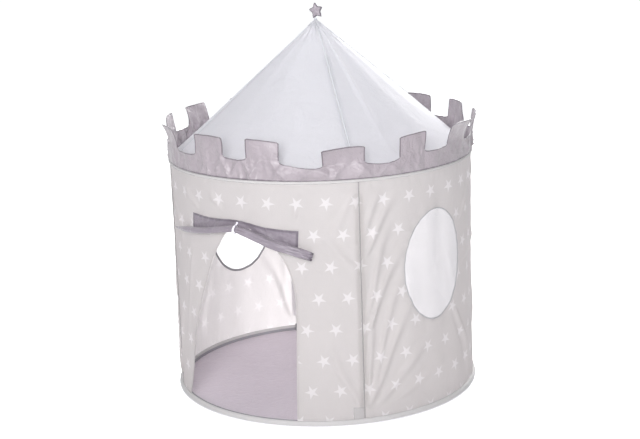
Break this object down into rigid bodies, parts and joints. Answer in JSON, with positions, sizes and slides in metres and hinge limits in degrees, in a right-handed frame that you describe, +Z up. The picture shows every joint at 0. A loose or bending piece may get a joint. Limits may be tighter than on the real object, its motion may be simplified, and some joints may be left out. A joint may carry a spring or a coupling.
{
  "type": "kids play tent",
  "caption": "Round castle play tent with folding poles, star-print cloth wall, arched door with rolled curtain, oval mesh windows, battlement band and cone roof.",
  "frame": {"origin": "centre of the floor's underside", "axes": "+Z up along the tent's axis, -Y out through the door, +X to the door's right seen from outside"},
  "size_m": [1.0753, 1.0977, 1.3331],
  "materials": {
    "bottom_hoop": "spring wire",
    "bottom_hem": "matte woven tape",
    "floor_sheet": "satin cloth",
    "floor_binding": "matte woven tape",
    "front_wall": "matte woven cloth",
    "right_wall": "matte woven cloth",
    "back_wall": "matte woven cloth",
    "left_wall": "matte woven cloth",
    "right_window_mesh": "fine netting",
    "left_window_mesh": "fine netting",
    "right_window_binding": "matte woven tape",
    "left_window_binding": "matte woven tape",
    "door_binding": "matte woven cloth",
    "foot_patch": "matte woven tape",
    "front_right_foot_pocket": "matte woven tape",
    "back_right_foot_pocket": "matte woven tape",
    "back_left_foot_pocket": "matte woven tape",
    "front_left_foot_pocket": "matte woven tape",
    "front_right_wall_sleeve": "matte woven cloth",
    "back_right_wall_sleeve": "matte woven cloth",
    "back_left_wall_sleeve": "matte woven cloth",
    "front_left_wall_sleeve": "matte woven cloth",
    "front_right_lower_pole": "smooth glass-fibre rod",
    "front_right_ferrule": "drawn tube",
    "front_right_foot_tip": "moulded rubber",
    "front_right_upper_pole": "smooth glass-fibre rod",
    "back_right_lower_pole": "smooth glass-fibre rod",
    "back_right_ferrule": "drawn tube",
    "back_right_foot_tip": "moulded rubber",
    "back_right_upper_pole": "smooth glass-fibre rod",
    "back_left_lower_pole": "smooth glass-fibre rod",
    "back_left_ferrule": "drawn tube",
    "back_left_foot_tip": "moulded rubber",
    "back_left_upper_pole": "smooth glass-fibre rod",
    "front_left_lower_pole": "smooth glass-fibre rod",
    "front_left_ferrule": "drawn tube",
    "front_left_foot_tip": "moulded rubber",
    "front_left_upper_pole": "smooth glass-fibre rod",
    "top_hoop": "spring wire",
    "top_piping": "matte woven tape",
    "battlement": "satin cloth",
    "roof": "thin translucent cloth",
    "front_right_eave_pocket": "matte woven tape",
    "back_right_eave_pocket": "matte woven tape",
    "back_left_eave_pocket": "matte woven tape",
    "front_left_eave_pocket": "matte woven tape",
    "front_right_roof_sleeve": "thin translucent cloth",
    "back_right_roof_sleeve": "thin translucent cloth",
    "back_left_roof_sleeve": "thin translucent cloth",
    "front_left_roof_sleeve": "thin translucent cloth",
    "front_right_roof_pole": "smooth glass-fibre rod",
    "back_right_roof_pole": "smooth glass-fibre rod",
    "back_left_roof_pole": "smooth glass-fibre rod",
    "front_left_roof_pole": "smooth glass-fibre rod",
    "peak_cap": "thin translucent cloth",
    "finial_tab": "satin cloth",
    "star_finial": "satin cloth",
    "curtain_header": "satin cloth",
    "curtain_roll": "satin cloth",
    "curtain_tie": "satin ribbon"
  },
  "bodies": {
    "base": {"bottom_hoop": "bottom_hoop", "bottom_hem": "bottom_hem", "floor_sheet": "floor_sheet", "floor_binding": "floor_binding", "front_wall": "front_wall", "right_wall": "right_wall", "back_wall": "back_wall", "left_wall": "left_wall", "right_window_mesh": "right_window_mesh", "left_window_mesh": "left_window_mesh", "right_window_binding": "right_window_binding", "left_window_binding": "left_window_binding", "door_binding": "door_binding", "foot_patch": "foot_patch", "front_right_foot_pocket": "front_right_foot_pocket", "back_right_foot_pocket": "back_right_foot_pocket", "back_left_foot_pocket": "back_left_foot_pocket", "front_left_foot_pocket": "front_left_foot_pocket", "front_right_wall_sleeve": "front_right_wall_sleeve", "back_right_wall_sleeve": "back_right_wall_sleeve", "back_left_wall_sleeve": "back_left_wall_sleeve", "front_left_wall_sleeve": "front_left_wall_sleeve"},
    "front_right_lower": {"front_right_lower_pole": "front_right_lower_pole", "front_right_ferrule": "front_right_ferrule", "front_right_foot_tip": "front_right_foot_tip"},
    "front_right_upper": {"front_right_upper_pole": "front_right_upper_pole"},
    "back_right_lower": {"back_right_lower_pole": "back_right_lower_pole", "back_right_ferrule": "back_right_ferrule", "back_right_foot_tip": "back_right_foot_tip"},
    "back_right_upper": {"back_right_upper_pole": "back_right_upper_pole"},
    "back_left_lower": {"back_left_lower_pole": "back_left_lower_pole", "back_left_ferrule": "back_left_ferrule", "back_left_foot_tip": "back_left_foot_tip"},
    "back_left_upper": {"back_left_upper_pole": "back_left_upper_pole"},
    "front_left_lower": {"front_left_lower_pole": "front_left_lower_pole", "front_left_ferrule": "front_left_ferrule", "front_left_foot_tip": "front_left_foot_tip"},
    "front_left_upper": {"front_left_upper_pole": "front_left_upper_pole"},
    "top_ring": {"top_hoop": "top_hoop", "top_piping": "top_piping", "battlement": "battlement", "roof": "roof", "front_right_eave_pocket": "front_right_eave_pocket", "back_right_eave_pocket": "back_right_eave_pocket", "back_left_eave_pocket": "back_left_eave_pocket", "front_left_eave_pocket": "front_left_eave_pocket", "front_right_roof_sleeve": "front_right_roof_sleeve", "back_right_roof_sleeve": "back_right_roof_sleeve", "back_left_roof_sleeve": "back_left_roof_sleeve", "front_left_roof_sleeve": "front_left_roof_sleeve"},
    "front_right_roof": {"front_right_roof_pole": "front_right_roof_pole"},
    "back_right_roof": {"back_right_roof_pole": "back_right_roof_pole"},
    "back_left_roof": {"back_left_roof_pole": "back_left_roof_pole"},
    "front_left_roof": {"front_left_roof_pole": "front_left_roof_pole"},
    "peak": {"peak_cap": "peak_cap", "finial_tab": "finial_tab"},
    "star": {"star_finial": "star_finial"},
    "curtain_header": {"curtain_header": "curtain_header"},
    "curtain_roll": {"curtain_roll": "curtain_roll", "curtain_tie": "curtain_tie"}
  },
  "joints": [
    {"name": "front_right_foot_fold", "type": "hinge", "parent": "base", "child": "front_right_lower", "pos_m": [0.3604, -0.3604, 0.0076], "axis": [-0.7071, -0.7071, 0], "range_deg": [0, 87], "deforming": ["front_wall", "right_wall", "back_wall", "left_wall", "right_window_mesh", "left_window_mesh", "right_window_binding", "left_window_binding", "door_binding", "foot_patch", "front_right_wall_sleeve", "back_right_wall_sleeve", "back_left_wall_sleeve", "front_left_wall_sleeve"]},
    {"name": "front_right_knee_fold", "type": "hinge", "parent": "front_right_lower", "child": "front_right_upper", "pos_m": [0.36287, -0.36287, 0.41503], "axis": [-0.7071, -0.7071, 0], "range_deg": [-174, 0]},
    {"name": "back_right_foot_fold", "type": "hinge", "parent": "base", "child": "back_right_lower", "pos_m": [0.3604, 0.3604, 0.0076], "axis": [0.7071, -0.7071, 0], "range_deg": [0, 87]},
    {"name": "back_right_knee_fold", "type": "hinge", "parent": "back_right_lower", "child": "back_right_upper", "pos_m": [0.36287, 0.36287, 0.41503], "axis": [0.7071, -0.7071, 0], "range_deg": [-174, 0]},
    {"name": "back_left_foot_fold", "type": "hinge", "parent": "base", "child": "back_left_lower", "pos_m": [-0.3604, 0.3604, 0.0076], "axis": [0.7071, 0.7071, 0], "range_deg": [0, 87]},
    {"name": "back_left_knee_fold", "type": "hinge", "parent": "back_left_lower", "child": "back_left_upper", "pos_m": [-0.36287, 0.36287, 0.41503], "axis": [0.7071, 0.7071, 0], "range_deg": [-174, 0]},
    {"name": "front_left_foot_fold", "type": "hinge", "parent": "base", "child": "front_left_lower", "pos_m": [-0.3604, -0.3604, 0.0076], "axis": [-0.7071, 0.7071, 0], "range_deg": [0, 87]},
    {"name": "front_left_knee_fold", "type": "hinge", "parent": "front_left_lower", "child": "front_left_upper", "pos_m": [-0.36287, -0.36287, 0.41503], "axis": [-0.7071, 0.7071, 0], "range_deg": [-174, 0]},
    {"name": "top_ring_level", "type": "hinge", "parent": "front_right_upper", "child": "top_ring", "pos_m": [0.3604, -0.3604, 0.82247], "axis": [-0.7071, -0.7071, 0], "range_deg": [0, 87]},
    {"name": "front_right_roof_fold", "type": "hinge", "parent": "top_ring", "child": "front_right_roof", "pos_m": [0.3604, -0.3604, 0.82847], "axis": [-0.7751, 0, -0.6318], "range_deg": [0, 57.72]},
    {"name": "back_right_roof_fold", "type": "hinge", "parent": "top_ring", "child": "back_right_roof", "pos_m": [0.3604, 0.3604, 0.82847], "axis": [0, -0.7751, -0.6318], "range_deg": [0, 57.72]},
    {"name": "back_left_roof_fold", "type": "hinge", "parent": "top_ring", "child": "back_left_roof", "pos_m": [-0.3604, 0.3604, 0.82847], "axis": [0.7751, 0, -0.6318], "range_deg": [0, 57.72]},
    {"name": "front_left_roof_fold", "type": "hinge", "parent": "top_ring", "child": "front_left_roof", "pos_m": [-0.3604, -0.3604, 0.82847], "axis": [0, 0.7751, -0.6318], "range_deg": [0, 57.72]},
    {"name": "peak_drop", "type": "slide", "parent": "top_ring", "child": "peak", "axis": [0, 0, -1], "range_m": [0, 0.4101], "deforming": ["roof", "peak_cap", "front_right_roof_sleeve", "back_right_roof_sleeve", "back_left_roof_sleeve", "front_left_roof_sleeve"]},
    {"name": "star_tilt", "type": "hinge", "parent": "peak", "child": "star", "pos_m": [0, 0, 1.28955], "axis": [0, 1, 0], "range_deg": [-20, 20]},
    {"name": "curtain_drop", "type": "slide", "parent": "base", "child": "curtain_header", "axis": [0, -0.0576, -0.9983], "range_m": [0, 0.521]},
    {"name": "curtain_swing", "type": "hinge", "parent": "curtain_header", "child": "curtain_roll", "pos_m": [0, -0.5416, 0.6681], "axis": [-1, 0, 0], "range_deg": [0, 50]}
  ],
  "couplings": [
    {"joint": "front_right_knee_fold", "follows": "front_right_foot_fold", "ratio": -2},
    {"joint": "back_right_foot_fold", "follows": "front_right_foot_fold", "ratio": 1},
    {"joint": "back_right_knee_fold", "follows": "front_right_foot_fold", "ratio": -2},
    {"joint": "back_left_foot_fold", "follows": "front_right_foot_fold", "ratio": 1},
    {"joint": "back_left_knee_fold", "follows": "front_right_foot_fold", "ratio": -2},
    {"joint": "front_left_foot_fold", "follows": "front_right_foot_fold", "ratio": 1},
    {"joint": "front_left_knee_fold", "follows": "front_right_foot_fold", "ratio": -2},
    {"joint": "top_ring_level", "follows": "front_right_foot_fold", "ratio": 1},
    {"joint": "front_right_roof_fold", "follows": "front_right_foot_fold", "ratio": 0.66339},
    {"joint": "back_right_roof_fold", "follows": "front_right_foot_fold", "ratio": 0.66339},
    {"joint": "back_left_roof_fold", "follows": "front_right_foot_fold", "ratio": 0.66339},
    {"joint": "front_left_roof_fold", "follows": "front_right_foot_fold", "ratio": 0.66339},
    {"joint": "peak_drop", "follows": "front_right_foot_fold", "m_per_rad": 0.27002},
    {"joint": "curtain_drop", "follows": "front_right_foot_fold", "m_per_rad": 0.34303}
  ]
}
